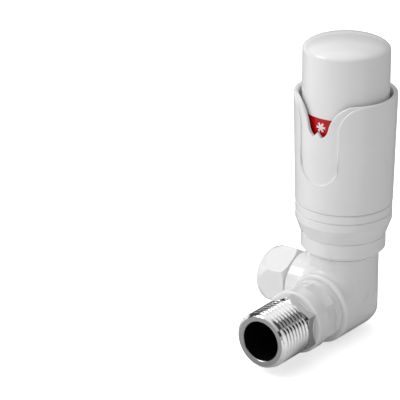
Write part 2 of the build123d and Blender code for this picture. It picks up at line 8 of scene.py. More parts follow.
import logging
from dataclasses import dataclass, field
from enum import Enum
from math import acos, asin, ceil, cos, hypot, pi, radians, sin, tan
from typing import Any, Callable, Sequence

import bmesh
import bpy
import numpy as np
from bpy.types import (ID, Material, Mesh, Node, NodeSocket as Socket, NodeTree, Object,
                       World)
from mathutils import Matrix, Vector


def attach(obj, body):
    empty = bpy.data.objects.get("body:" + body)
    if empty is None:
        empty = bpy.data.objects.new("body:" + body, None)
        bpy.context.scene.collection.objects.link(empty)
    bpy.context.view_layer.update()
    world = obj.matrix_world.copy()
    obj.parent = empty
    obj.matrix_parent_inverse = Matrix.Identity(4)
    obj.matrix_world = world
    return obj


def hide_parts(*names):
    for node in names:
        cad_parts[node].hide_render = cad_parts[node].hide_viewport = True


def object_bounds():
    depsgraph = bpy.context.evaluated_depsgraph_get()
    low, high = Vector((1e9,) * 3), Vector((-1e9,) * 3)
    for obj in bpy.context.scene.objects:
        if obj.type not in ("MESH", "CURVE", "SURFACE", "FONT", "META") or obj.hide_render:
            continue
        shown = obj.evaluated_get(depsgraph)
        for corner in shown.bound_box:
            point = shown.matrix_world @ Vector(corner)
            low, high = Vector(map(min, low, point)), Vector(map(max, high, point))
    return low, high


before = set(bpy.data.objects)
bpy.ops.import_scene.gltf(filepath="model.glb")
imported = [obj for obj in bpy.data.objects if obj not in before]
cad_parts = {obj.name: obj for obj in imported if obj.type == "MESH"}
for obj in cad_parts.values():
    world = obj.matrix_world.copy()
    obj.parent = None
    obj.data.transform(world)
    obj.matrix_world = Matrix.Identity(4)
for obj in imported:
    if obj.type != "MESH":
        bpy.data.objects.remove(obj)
CAD_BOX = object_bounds()

LOG = logging.getLogger("radiator_valve")
MM = 0.001
CROSSING = Vector((0.0, 35.3, 0.0)) * MM     # where the head's axis meets the tail's axis
PIPE_LIFT = 1.0                              # the pipe's axis lies this far above the tail's axis

Array = np.ndarray
Colour = tuple[float, float, float, float]
Outline = list[tuple[float, float]]              # radius and height of each point
EdgePoint = tuple[float, float, bool]            # across, height, whether it has to be kept
Shape = Callable[[Array, float, float], Array]   # angles, radius and height of a ring to its radii


def grey(level: float) -> Colour:
    """A neutral colour with all three channels at the same level."""
    return (level, level, level, 1.0)


def in_scene(name: str, data: ID) -> Object:
    """Makes an object of some data and puts it in the scene.

    Args:
        name: Name of the object.
        data: Its mesh, curve, lamp or camera.

    Returns:
        The new object.
    """
    made = bpy.data.objects.new(name, data)
    bpy.context.scene.collection.objects.link(made)
    return made


def final_mesh(carrier: Object) -> Mesh:
    """Takes the mesh that an object shows, and removes its modifiers and the object.

    Args:
        carrier: The object, with its modifiers live.

    Returns:
        A plain mesh.
    """
    depsgraph = bpy.context.evaluated_depsgraph_get()
    mesh = bpy.data.meshes.new_from_object(carrier.evaluated_get(depsgraph))
    carrier.modifiers.clear()
    bpy.data.objects.remove(carrier)
    return mesh


class Run(Enum):
    """The axes that the valve's pieces are turned about."""

    HEAD = "head"
    TAIL = "tail"
    PIPE = "pipe"

    def direction(self) -> Vector:
        """Unit vector along the run, away from the valve's middle."""
        return {Run.HEAD: Vector((0, 0, 1)), Run.TAIL: Vector((0, -1, 0)),
                Run.PIPE: Vector((-1, 0, 0))}[self]

    def origin(self) -> Vector:
        """The point of the run from which distances along it are measured, in metres."""
        lift = PIPE_LIFT if self is Run.PIPE else 0.0
        return CROSSING + Vector((0, 0, lift)) * MM

    def matrix(self) -> Matrix:
        """Transform from a piece turned about Z, in millimetres, to its place in the frame."""
        turn = {Run.HEAD: Matrix.Identity(4), Run.TAIL: Matrix.Rotation(pi / 2, 4, "X"),
                Run.PIPE: Matrix.Rotation(-pi / 2, 4, "Y")}[self]
        return Matrix.Translation(self.origin()) @ turn @ Matrix.Scale(MM, 4)


class TreeWriter:
    """Adds nodes to one tree and joins them, so that a material reads from top to bottom."""

    def __init__(self, tree: NodeTree) -> None:
        """Keeps the tree that nodes are added to."""
        self.tree = tree

    @classmethod
    def emptied(cls, owner: Material | World) -> "TreeWriter":
        """Clears the tree of a material or a world.

        Args:
            owner: The material or world.

        Returns:
            The writer of its tree.
        """
        owner.use_nodes = True
        owner.node_tree.nodes.clear()
        return cls(owner.node_tree)

    @classmethod
    def for_group(cls, kind: str, name: str, inputs: dict[str, Any], outputs: Sequence[str],
                  gives: str = "NodeSocketFloat") -> tuple["TreeWriter", Any]:
        """Starts a node group.

        Args:
            kind: Blender's identifier of the tree.
            name: Name of the group.
            inputs: Default value of each input, or None for a material.
            outputs: Name of each output.
            gives: Socket type of the outputs.

        Returns:
            The group's writer and the sockets that its inputs come from.
        """
        sockets = {float: "NodeSocketFloat", int: "NodeSocketInt", tuple: "NodeSocketVector"}
        tree = bpy.data.node_groups.new(name, kind)
        for label, value in inputs.items():
            socket = tree.interface.new_socket(
                label, in_out="INPUT", socket_type=sockets.get(type(value), "NodeSocketMaterial"))
            if value is not None:
                socket.default_value = value
        for label in outputs:
            tree.interface.new_socket(label, in_out="OUTPUT", socket_type=gives)
        writer = cls(tree)
        return writer, writer.add("NodeGroupInput").outputs

    def add(self, kind: str, inputs: dict[str | int, Any] | None = None,
            **settings: Any) -> Node:
        """Adds a node.

        Args:
            kind: Blender's identifier of the node.
            inputs: Values or output sockets for the node's inputs, by name or number.
            **settings: Properties of the node.

        Returns:
            The new node.
        """
        node = self.tree.nodes.new(kind)
        for name, value in settings.items():
            setattr(node, name, value)
        for key, value in (inputs or {}).items():
            socket = node.inputs[key]
            if isinstance(value, Socket):
                self.tree.links.new(value, socket)
            else:
                socket.default_value = value
        return node

    def maths(self, operation: str, *values: Any) -> Socket:
        """Adds a Math node and returns its result."""
        return self.add("ShaderNodeMath", dict(enumerate(values)), operation=operation).outputs[0]

    def vector_maths(self, operation: str, *values: Any) -> Node:
        """Adds a Vector Math node and returns it."""
        return self.add("ShaderNodeVectorMath", dict(enumerate(values)), operation=operation)

    def mapped(self, value: Any, source: tuple[Any, Any], target: tuple[Any, Any] = (0.0, 1.0),
               curve: str = "LINEAR") -> Socket:
        """Maps one range onto another, clamped at both ends.

        Args:
            value: What is mapped.
            source: Low and high end of its range.
            target: Low and high end of the result's range.
            curve: Blender's name of the way between the ends.

        Returns:
            The result.
        """
        inputs = {"Value": value, "From Min": source[0], "From Max": source[1],
                  "To Min": target[0], "To Max": target[1]}
        return self.add("ShaderNodeMapRange", inputs, interpolation_type=curve).outputs[0]

    def mixed(self, factor: Any, a: Any, b: Any, kind: str = "FLOAT") -> Socket:
        """Mixes two numbers or colours.

        Args:
            factor: Share of the second.
            a: The first.
            b: The second.
            kind: Blender's name of their type.

        Returns:
            The result.
        """
        return self.add("ShaderNodeMix", {"Factor": factor, "A": a, "B": b},
                        data_type=kind).outputs["Result"]

    def place(self) -> Socket:
        """Coordinates that stay with the object."""
        return self.add("ShaderNodeTexCoord").outputs["Object"]

    def noise(self, place: Any, scale: Any, detail: float, roughness: float = 0.5) -> Socket:
        """Adds a noise texture.

        Args:
            place: Coordinates.
            scale: How fine the noise is.
            detail: How many finer layers it has.
            roughness: How strong the finer layers are.

        Returns:
            The noise's value.
        """
        return self.add("ShaderNodeTexNoise", {"Vector": place, "Scale": scale, "Detail": detail,
                                               "Roughness": roughness}).outputs[0]

    def group(self, tree: NodeTree, **inputs: Any) -> Any:
        """Adds a node group with values for its inputs and returns its outputs."""
        return self.add("ShaderNodeGroup", inputs, node_tree=tree).outputs


class Effects:
    """Shader node groups that the finishes share, each built once."""

    DRIFT_MIDDLE = (0.3, 0.7)           # range of the noise that is spread over the whole drift
    BAND_SCALE = 500.0                  # light and dark bands that a lathe leaves
    HAIR_WARP_SCALE = 90.0
    HAIR_WARP = (0.02, 0.006, 0.02)     # how far the hairlines are bent, least along the tail
    HAIR_WIDTH = 0.03
    HAIR_PATCH_SCALE = 150.0
    HAIR_PATCHES = (0.55, 0.7)          # range of the noise in which hairlines come in

    def __init__(self) -> None:
        """Builds all the groups."""
        self.drift = self._drift()
        self.peel = self._peel()
        self.turning = self._turning()
        self.scratches = self._scratches()

    def _drift(self) -> NodeTree:
        """Slow change over a surface between two values, such as handling and thin dust.

        Returns:
            The group's tree.
        """
        w, given = TreeWriter.for_group("ShaderNodeTree", "slow_drift",
                                        {"Scale": 60.0, "Low": 0.0, "High": 1.0}, ["Value"])
        noise = w.noise(w.place(), given["Scale"], detail=4.0, roughness=0.6)
        steeper = w.mapped(noise, self.DRIFT_MIDDLE)
        value = w.mapped(steeper, (0.0, 1.0), (given["Low"], given["High"]))
        w.add("NodeGroupOutput", {"Value": value})
        return w.tree

    def _peel(self) -> NodeTree:
        """Fine waviness of sprayed enamel or moulded plastic, as a height.

        Returns:
            The group's tree.
        """
        w, given = TreeWriter.for_group("ShaderNodeTree", "fine_peel",
                                        {"Scale": 900.0, "Waves": 120.0}, ["Height"])
        place = w.place()
        fine = w.noise(place, given["Scale"], detail=2.0)
        broad = w.noise(place, given["Waves"], detail=1.0)
        w.add("NodeGroupOutput", {"Height": w.maths("MULTIPLY_ADD", broad, 2.0, fine)})
        return w.tree

    def _turning(self) -> NodeTree:
        """Fine rings that a lathe leaves about an axis, as a height and a shade.

        Returns:
            The group's tree.
        """
        w, given = TreeWriter.for_group(
            "ShaderNodeTree", "turning_rings",
            {"Along": (0, 0, 1), "Centre": tuple(CROSSING), "Rings": 4000.0}, ["Height", "Shade"])
        local = w.vector_maths("SUBTRACT", w.place(), given["Centre"]).outputs[0]
        run = w.vector_maths("DOT_PRODUCT", local, given["Along"]).outputs["Value"]
        square = w.vector_maths("DOT_PRODUCT", local, local).outputs["Value"]
        radius = w.maths("SQRT", w.maths("MAXIMUM", 0.0, w.maths(
            "SUBTRACT", square, w.maths("MULTIPLY", run, run))))
        both = w.maths("ADD", run, radius)
        rings, bands = (w.add("ShaderNodeTexNoise", {"W": both, "Scale": scale, "Detail": detail},
                              noise_dimensions="1D").outputs[0]
                        for scale, detail in ((given["Rings"], 3.0), (self.BAND_SCALE, 1.0)))
        w.add("NodeGroupOutput", {"Height": rings, "Shade": bands})
        return w.tree

    def _scratches(self) -> NodeTree:
        """Sparse hairline marks of handling, as a mask.

        Returns:
            The group's tree.
        """
        w, given = TreeWriter.for_group("ShaderNodeTree", "hairlines",
                                        {"Scale": 240.0, "Amount": 0.2}, ["Mask"])
        place = w.place()
        bent = w.add("ShaderNodeTexNoise", {"Vector": place, "Scale": self.HAIR_WARP_SCALE,
                                            "Detail": 1.0})
        warped = w.vector_maths("MULTIPLY_ADD", bent.outputs["Color"], self.HAIR_WARP, place)
        lines = w.add("ShaderNodeTexVoronoi", {"Vector": warped.outputs[0], "Scale": given["Scale"]},
                      feature="DISTANCE_TO_EDGE")
        thin = w.mapped(lines.outputs["Distance"], (0.0, self.HAIR_WIDTH), (1.0, 0.0))
        patch = w.noise(place, self.HAIR_PATCH_SCALE, detail=2.0)
        chosen = w.mapped(patch, self.HAIR_PATCHES)
        mask = w.maths("MULTIPLY", w.maths("MULTIPLY", thin, chosen), given["Amount"])
        w.add("NodeGroupOutput", {"Mask": mask})
        return w.tree


@dataclass(frozen=True)
class Finish:
    """A material: its name and the values of its shader."""

    name: str
    colour: Colour
    shade: Colour
    rough: tuple[float, float]
    bump: float
    bump_distance: float = 0.00003
    drift_scale: float = 60.0
    rough_finer: float = 2.3      # the roughness drifts over this much shorter stretches
    metallic: float = 0.0
    ior: float = 1.45
    coat: float = 0.0
    coat_rough: float = 0.05
    hairlines: float = 0.0
    specular: float = 0.5

    def height(self, w: TreeWriter, effects: Effects) -> Socket:
        """Small relief of the surface, for the bump."""
        return w.group(effects.peel)["Height"]

    def tint(self, w: TreeWriter, effects: Effects) -> Socket:
        """Mask between the finish's two colours."""
        return w.group(effects.drift, Scale=self.drift_scale)["Value"]

    def material(self, effects: Effects) -> Material:
        """Builds the material.

        Args:
            effects: The shared node groups.

        Returns:
            The finished material.
        """
        made = bpy.data.materials.new(self.name)
        w = TreeWriter.emptied(made)
        colour = w.mixed(self.tint(w, effects), self.colour, self.shade, "RGBA")
        rough = w.group(effects.drift, Scale=self.drift_scale * self.rough_finer,
                        Low=self.rough[0], High=self.rough[1])["Value"]
        if self.hairlines > 0:
            marks = w.group(effects.scratches, Amount=self.hairlines)["Mask"]
            rough = w.maths("ADD", rough, marks)
        bump = w.add("ShaderNodeBump", {"Strength": self.bump, "Distance": self.bump_distance,
                                        "Height": self.height(w, effects)})
        shader = w.add("ShaderNodeBsdfPrincipled",
                       {"Base Color": colour, "Roughness": rough, "Metallic": self.metallic,
                        "IOR": self.ior, "Specular IOR Level": self.specular,
                        "Coat Weight": self.coat, "Coat Roughness": self.coat_rough,
                        "Normal": bump.outputs["Normal"]})
        w.add("ShaderNodeOutputMaterial", {"Surface": shader.outputs[0]})
        made.diffuse_color = self.colour
        return made


@dataclass(frozen=True)
class TurnedFinish(Finish):
    """A metal turned on a lathe about one of the valve's axes."""

    metallic: float = 1.0
    run: Run = Run.HEAD
    rings: float = 4000.0

    def _rings(self, w: TreeWriter, effects: Effects) -> Any:
        """Adds the group of lathe rings, set to this finish's axis.

        Args:
            w: Writer of the material's tree.
            effects: The shared node groups.

        Returns:
            The group's outputs.
        """
        return w.group(effects.turning, Along=self.run.direction(), Centre=self.run.origin(),
                       Rings=self.rings)

    def height(self, w: TreeWriter, effects: Effects) -> Socket:
        """Fine grooves left by the tool."""
        return self._rings(w, effects)["Height"]

    def tint(self, w: TreeWriter, effects: Effects) -> Socket:
        """Faint bands of lighter and darker metal."""
        return self._rings(w, effects)["Shade"]


ENAMEL = Finish("white_enamel", grey(0.84), grey(0.80), (0.16, 0.24), 0.05, 0.00004, coat=0.3,
                coat_rough=0.06)
SHELL = Finish("white_shell_plastic", grey(0.83), grey(0.80), (0.18, 0.24), 0.03,
               drift_scale=45.0, coat=0.3)
DIAL_RED = Finish("red_dial_plastic", (0.56, 0.005, 0.009, 1), (0.48, 0.004, 0.007, 1),
                  (0.22, 0.32), 0.05, specular=0.3)
DIAL_WHITE = Finish("white_dial_print", grey(0.86), grey(0.8), (0.35, 0.5), 0.1,
                    drift_scale=160.0)
CHROME = Finish("polished_chrome", grey(0.86), grey(0.78), (0.03, 0.07), 0.06,
                drift_scale=110.0, metallic=1.0, hairlines=0.08)
# painted shade: the end face is the tail's chrome at well under half its colour, darkened for the
# shade it shows; its rings and roughness are the real turned finish
SHADED_CHROME_FACE = TurnedFinish("turned_chrome_face_painted_shade", grey(0.36), grey(0.30), (0.2, 0.28), 0.2,
                           run=Run.TAIL)
BRASS_HEAD = TurnedFinish("turned_brass", (0.74, 0.53, 0.24, 1), (0.62, 0.43, 0.17, 1),
                          (0.18, 0.3), 0.25)
BRASS_PIPE = TurnedFinish("turned_brass_ring", (0.76, 0.55, 0.26, 1), (0.66, 0.46, 0.19, 1),
                          (0.2, 0.32), 0.2, run=Run.PIPE)
STEEL_HEAD = TurnedFinish("turned_steel", (0.58, 0.58, 0.57, 1), (0.48, 0.48, 0.48, 1),
                          (0.2, 0.3), 0.25, rings=6000.0)
SPRING_STEEL = Finish("spring_steel", (0.5, 0.5, 0.5, 1), (0.38, 0.37, 0.35, 1), (0.25, 0.4), 0.1,
                      drift_scale=300.0, metallic=1.0)
SATIN_ALUMINIUM = TurnedFinish("satin_aluminium", (0.75, 0.75, 0.76, 1), (0.66, 0.66, 0.68, 1),
                               (0.3, 0.42), 0.3, rings=3000.0)
RUBBER = Finish("seal_rubber", (0.022, 0.022, 0.024, 1), (0.04, 0.04, 0.042, 1), (0.55, 0.75),
                0.3, 0.00004, drift_scale=400.0)
# painted shade: the bore is near-black with no reflection at all, for the shade deep inside the tube
BORE_PAINTED_SHADE = TurnedFinish("bore_painted_shade", (0.004, 0.004, 0.004, 1), (0.007, 0.006, 0.005, 1),
                    (0.7, 0.85), 0.2, 0.00004, metallic=0.0, specular=0.0, run=Run.TAIL,
                    rings=2500.0)
INNER_PLASTIC = Finish("grey_inner_plastic", (0.24, 0.25, 0.27, 1), (0.19, 0.2, 0.22, 1),
                       (0.45, 0.6), 0.25, 0.00005, drift_scale=90.0)


class FinishShelf:
    """Every finish as a material, and which CAD node wears which."""

    WORN_BY: dict[Finish, tuple[str, ...]] = {
        ENAMEL: ("union_nut", "valve_body", "pipe_nut", "coupling_nut"),
        SHELL: ("head_base", "limit_ring", "head_sleeve", "handwheel"),
        DIAL_RED: ("scale_ring",),
        BRASS_HEAD: ("insert_bonnet", "gland_nut", "disc_cup"),
        BRASS_PIPE: ("olive",),
        STEEL_HEAD: ("spindle", "disc_screw"),
        SPRING_STEEL: ("return_spring", "overload_spring", "tail_retaining_ring"),
        SATIN_ALUMINIUM: ("sensor_capsule",),
        RUBBER: ("tail_o_ring", "insert_o_ring", "spindle_o_ring", "disc_seal"),
        INNER_PLASTIC: ("sensor_carrier", "carrier_cap", "push_pin"),
    }

    def __init__(self) -> None:
        """Builds the effects and keeps a place for the materials."""
        self.effects = Effects()
        self.made: dict[Finish, Material] = {}

    def get(self, finish: Finish) -> Material:
        """The material of a finish, built the first time that it is asked for.

        Args:
            finish: The finish.

        Returns:
            Its material.
        """
        if finish not in self.made:
            self.made[finish] = finish.material(self.effects)
        return self.made[finish]

    def dress(self, piece: Object, finish: Finish) -> None:
        """Gives a piece one finish all over."""
        piece.data.materials.clear()
        piece.data.materials.append(self.get(finish))

    def dress_cad_nodes(self) -> None:
        """Gives every CAD node its finish."""
        for finish, nodes in self.WORN_BY.items():
            for node in nodes:
                self.dress(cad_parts[node], finish)
                LOG.info("%s wears %s", node, finish.name)


def rounded(corners: Sequence[tuple[float, ...]], steps: int = 5) -> Outline:
    """Outline through corners, with an arc in place of each corner that has a rounding.

    Args:
        corners: Radius, height and rounding of each corner, in millimetres.
        steps: Points on each arc, less one.

    Returns:
        Radius and height of each point, in order. The two ends are never rounded.
    """
    points: Outline = []
    for number, corner in enumerate(corners):
        here = Vector(corner[:2])
        size = corner[2] if len(corner) == 3 else 0.0
        if size == 0.0 or number in (0, len(corners) - 1):
            points.append(tuple(here))
            continue
        before = (Vector(corners[number - 1][:2]) - here).normalized()
        after = (Vector(corners[number + 1][:2]) - here).normalized()
        half = before.angle(after) / 2
        start, end = here + before * size / tan(half), here + after * size / tan(half)
        middle = here + (before + after).normalized() * size / sin(half)
        first, last = start - middle, end - middle
        for step in range(steps + 1):
            spoke = first.slerp(last, step / steps)
            points.append(tuple(middle + spoke * size))
    return points


def refined(outline: Outline, step: float) -> Outline:
    """Outline with points added, so that none of its lines is longer than a step.

    Args:
        outline: Radius and height of each point.
        step: Longest line that is left, in millimetres.

    Returns:
        The finer outline, with the same corners.
    """
    points = outline[:1]
    for (r0, z0), (r1, z1) in zip(outline, outline[1:]):
        parts = max(1, ceil(hypot(r1 - r0, z1 - z0) / step))
        points += [(r0 + (r1 - r0) * k / parts, z0 + (z1 - z0) * k / parts)
                   for k in range(1, parts + 1)]
    return points


def quarter_turn(steps: int) -> list[tuple[float, float]]:
    """Even steps round an edge that is rounded through a quarter of a turn.

    Args:
        steps: Number of steps.

    Returns:
        How much of the radius is left to the turn's end, and how much has been sunk, as shares
        of it, at the start and after each step.
    """
    return [(1 - sin(turn), 1 - cos(turn))
            for turn in np.linspace(0.0, pi / 2, steps + 1)]


class Lathe:
    """Skins turned ring by ring about one of the valve's axes, in millimetres."""

    WELD = 0.0005

    def __init__(self, run: Run, sides: int = 144) -> None:
        """Starts an empty skin.

        Args:
            run: The axis that the skin goes round.
            sides: Points in each ring.
        """
        self.run = run
        self.sides = sides
        self.skin = bmesh.new()

    def turn(self, outline: Outline, shape: Shape | None = None, material: int = 0) -> None:
        """Adds the skin that an outline sweeps.

        Args:
            outline: Radius and height of each ring, in order.
            shape: Changes a ring's radii, given its angles, its radius and its height.
            material: Index of the skin's material.
        """
        angles = np.linspace(0.0, 2 * pi, self.sides, endpoint=False)
        rings = []
        for radius, height in outline:
            radii = np.full(self.sides, radius)
            if shape is not None:
                radii = shape(angles, radius, height)
            rings.append(np.stack([radii * np.cos(angles), radii * np.sin(angles),
                                   np.full(self.sides, height)], axis=1))
        self.stitch(rings, material)

    def stitch(self, rings: Sequence[Array], material: int = 0) -> None:
        """Adds the skin between rings of points.

        Args:
            rings: Points of each ring, the same number in each.
            material: Index of the skin's material.
        """
        before: list[bmesh.types.BMVert] = []
        for points in rings:
            ring = [self.skin.verts.new(point) for point in points]
            for n in range(len(ring) if before else 0):
                m = (n + 1) % len(ring)
                face = self.skin.faces.new((before[n], before[m], ring[m], ring[n]))
                face.material_index = material
            before = ring

    def join(self, mesh: Mesh, material: int = 0) -> None:
        """Adds a finished mesh, such as a thread, to the skin.

        Args:
            mesh: The mesh to add.
            material: Index of the material that it gets.
        """
        mesh.polygons.foreach_set("material_index", [material] * len(mesh.polygons))
        self.skin.from_mesh(mesh)

    def finish(self, name: str, sharp: float = 32.0) -> Object:
        """Closes the skin, puts it in its place and makes it an object.

        Args:
            name: Name of the piece.
            sharp: Edges that turn more than this many degrees are crisp.

        Returns:
            The new object.
        """
        bmesh.ops.remove_doubles(self.skin, verts=self.skin.verts[:], dist=self.WELD)
        bmesh.ops.recalc_face_normals(self.skin, faces=self.skin.faces[:])
        for face in self.skin.faces:
            face.smooth = True
        mesh = bpy.data.meshes.new(name)
        self.skin.to_mesh(mesh)
        self.skin.free()
        mesh.transform(self.run.matrix())
        mesh.set_sharp_from_angle(angle=radians(sharp))
        return in_scene(name, mesh)


def six_flats(flats: float, turn: float, low: float, high: float) -> Shape:
    """Shape that cuts rings between two heights to a hexagon.

    Args:
        flats: Width of the hexagon across its flats.
        turn: Angle in degrees of the middle of one flat.
        low: Height where the hexagon starts.
        high: Height where it ends.

    Returns:
        The shape, for Lathe.turn.
    """
    def shape(angles: Array, radius: float, height: float) -> Array:
        """Cuts the flats of one ring.

        Args:
            angles: Angle of each of its points.
            radius: Radius of the ring before the cut.
            height: Height of the ring.

        Returns:
            Radius of each point.
        """
        radii = np.full(len(angles), radius)
        if low <= height <= high:
            sixth = pi / 3
            off = (angles - radians(turn) + sixth / 2) % sixth - sixth / 2
            radii = np.minimum(radii, flats / 2 / np.cos(off))
        return radii
    return shape


@dataclass
class WoundThread:
    """Right-handed rounded V thread, wound by a Geometry Nodes tree."""

    crest_r: float = 10.4775
    depth: float = 1.162
    pitch: float = 1.814
    low: float = 35.3
    high: float = 51.0
    run_out: float = 0.5
    lead_in: float = 1.2
    flat: float = 0.1         # share of half a pitch that is flat, at the crest and at the root
    weld: float = 0.002
    sides: int = 144
    per_pitch: int = 14

    def _tree(self) -> NodeTree:
        """Builds the tree, with the thread's sizes as its inputs.

        Returns:
            The tree.
        """
        rings = round((self.high - self.low) / self.pitch * self.per_pitch) + 1
        w, given = TreeWriter.for_group(
            "GeometryNodeTree", "wound_thread",
            {"Crest radius": self.crest_r, "Depth": self.depth, "Pitch": self.pitch,
             "Low": self.low, "High": self.high, "Run out": self.run_out, "Lead in": self.lead_in,
             "Sides": self.sides, "Rings": rings, "Finish": None},
            ["Geometry"], "NodeSocketGeometry")
        grid = w.add("GeometryNodeMeshGrid", {
            "Size X": 1.0, "Size Y": 1.0, "Vertices X": w.maths("ADD", given["Sides"], 1.0),
            "Vertices Y": given["Rings"]})
        place = w.add("ShaderNodeSeparateXYZ", {0: w.add("GeometryNodeInputPosition").outputs[0]})
        around = w.maths("ADD", place.outputs["X"], 0.5)      # the grid is 1 by 1 about 0
        along = w.maths("ADD", place.outputs["Y"], 0.5)
        height = w.maths("MULTIPLY_ADD", along, w.maths("SUBTRACT", given["High"], given["Low"]),
                         given["Low"])
        phase = w.maths("FRACT", w.maths("SUBTRACT", w.maths("DIVIDE", height, given["Pitch"]),
                                         around))
        flank = w.maths("ABSOLUTE", w.maths("MULTIPLY_ADD", phase, 2.0, -1.0))
        rounded_flank = w.mapped(flank, (self.flat, 1.0 - self.flat))
        fade = w.mapped(w.maths("DIVIDE", w.maths("SUBTRACT", height, given["Low"]),
                                given["Run out"]), (0.0, 1.0))
        rise = w.maths("MULTIPLY", w.maths("MULTIPLY", rounded_flank, given["Depth"]), fade)
        root = w.maths("SUBTRACT", given["Crest radius"], given["Depth"])
        past = w.maths("SUBTRACT", height, w.maths("SUBTRACT", given["High"], given["Lead in"]))
        cone = w.maths("SUBTRACT", given["Crest radius"], w.maths("MAXIMUM", past, 0.0))
        radius = w.maths("MINIMUM", w.maths("ADD", root, rise), cone)
        angle = w.maths("MULTIPLY", around, 2 * pi)
        moved = w.add("ShaderNodeCombineXYZ", {
            "X": w.maths("MULTIPLY", radius, w.maths("COSINE", angle)),
            "Y": w.maths("MULTIPLY", radius, w.maths("SINE", angle)), "Z": height})
        wound = w.add("GeometryNodeSetPosition", {"Geometry": grid.outputs["Mesh"],
                                                  "Position": moved.outputs[0]})
        closed = w.add("GeometryNodeMergeByDistance", {"Geometry": wound.outputs[0],
                                                       "Distance": self.weld})
        real = w.add("GeometryNodeRealizeInstances", {"Geometry": closed.outputs[0]})
        dressed = w.add("GeometryNodeSetMaterial", {"Geometry": real.outputs[0],
                                                    "Material": given["Finish"]})
        w.add("NodeGroupOutput", {"Geometry": dressed.outputs[0]})
        return w.tree

    def root_r(self) -> float:
        """Radius at the bottom of the groove."""
        return self.crest_r - self.depth

    def mesh(self, finish: Material) -> Mesh:
        """Winds the thread.

        Args:
            finish: The thread's material.

        Returns:
            A plain mesh about Z, in millimetres.
        """
        carrier = in_scene("thread_carrier", bpy.data.meshes.new("thread_carrier"))
        winder = carrier.modifiers.new("winder", "NODES")
        winder.node_group = self._tree()
        for item in winder.node_group.interface.items_tree:
            if item.in_out == "INPUT" and item.name == "Finish":
                winder[item.identifier] = finish
        return final_mesh(carrier)


@dataclass
class RadiatorTail:
    """Chromed union tail: tube, hexagon and wound thread round a bore painted black as painted
    shade.
    """

    inner_end: float = 7.0
    inner_edge: float = 0.12
    tube_r: float = 8.5
    bore_r: float = 5.9
    cone_start: float = 33.0
    cone_end: float = 36.0
    mouth_r: float = 7.4
    mouth_edge: float = 0.2
    hex_start: float = 31.0
    hex_flats: float = 19.8
    hex_round_r: float = 11.42
    hex_edge: float = 0.2
    seal_r: float = 7.1
    seal_span: tuple[float, float] = (7.27, 8.73)
    ring_r: float = 7.7
    ring_span: tuple[float, float] = (9.75, 11.35)
    thread: WoundThread = field(default_factory=WoundThread)

    def outside(self) -> Outline:
        """From the inner end over the tube and the hexagon to the thread's start.

        Returns:
            The outline.
        """
        low, high = self.seal_span
        ring_low, ring_high = self.ring_span
        shoulder = self.thread.low
        return rounded([(self.bore_r, self.inner_end),
                        (self.tube_r, self.inner_end, self.inner_edge),
                        (self.tube_r, low), (self.seal_r, low), (self.seal_r, high),
                        (self.tube_r, high), (self.tube_r, ring_low), (self.ring_r, ring_low),
                        (self.ring_r, ring_high), (self.tube_r, ring_high),
                        (self.tube_r, self.hex_start),
                        (self.hex_round_r, self.hex_start, self.hex_edge),
                        (self.hex_round_r, shoulder, self.hex_edge),
                        (self.thread.root_r(), shoulder)])

    def mouth(self) -> Outline:
        """From the thread's free end over the end ring and a little way into the bore.

        Returns:
            The outline.
        """
        end = self.thread.high
        return rounded([(self.thread.crest_r - self.thread.lead_in, end),
                        (self.mouth_r + self.mouth_edge, end),
                        (self.mouth_r, end - self.mouth_edge)])

    def bore(self) -> Outline:
        """The bore, painted black as painted shade, from the mouth to the inner end."""
        return [(self.mouth_r, self.thread.high - self.mouth_edge), (self.mouth_r, self.cone_end),
                (self.bore_r, self.cone_start), (self.bore_r, self.inner_end)]

    def build(self, shelf: FinishShelf) -> Object:
        """Makes the tail and sets it in its body.

        Args:
            shelf: Where the finishes come from.

        Returns:
            The finished piece.
        """
        worn = [shelf.get(finish) for finish in (CHROME, BORE_PAINTED_SHADE, SHADED_CHROME_FACE)]
        plated, bore_shade, faced = range(len(worn))
        lathe = Lathe(Run.TAIL, self.thread.sides)
        lathe.turn(self.outside(), six_flats(self.hex_flats, 0.0, self.hex_start, self.thread.low))
        lathe.turn(self.mouth(), material=faced)
        lathe.turn(self.bore(), material=bore_shade)
        lathe.join(self.thread.mesh(worn[plated]), plated)
        piece = lathe.finish("tail_with_thread")
        for finish in worn:
            piece.data.materials.append(finish)
        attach(piece, "tail")
        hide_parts("radiator_tail")
        return piece


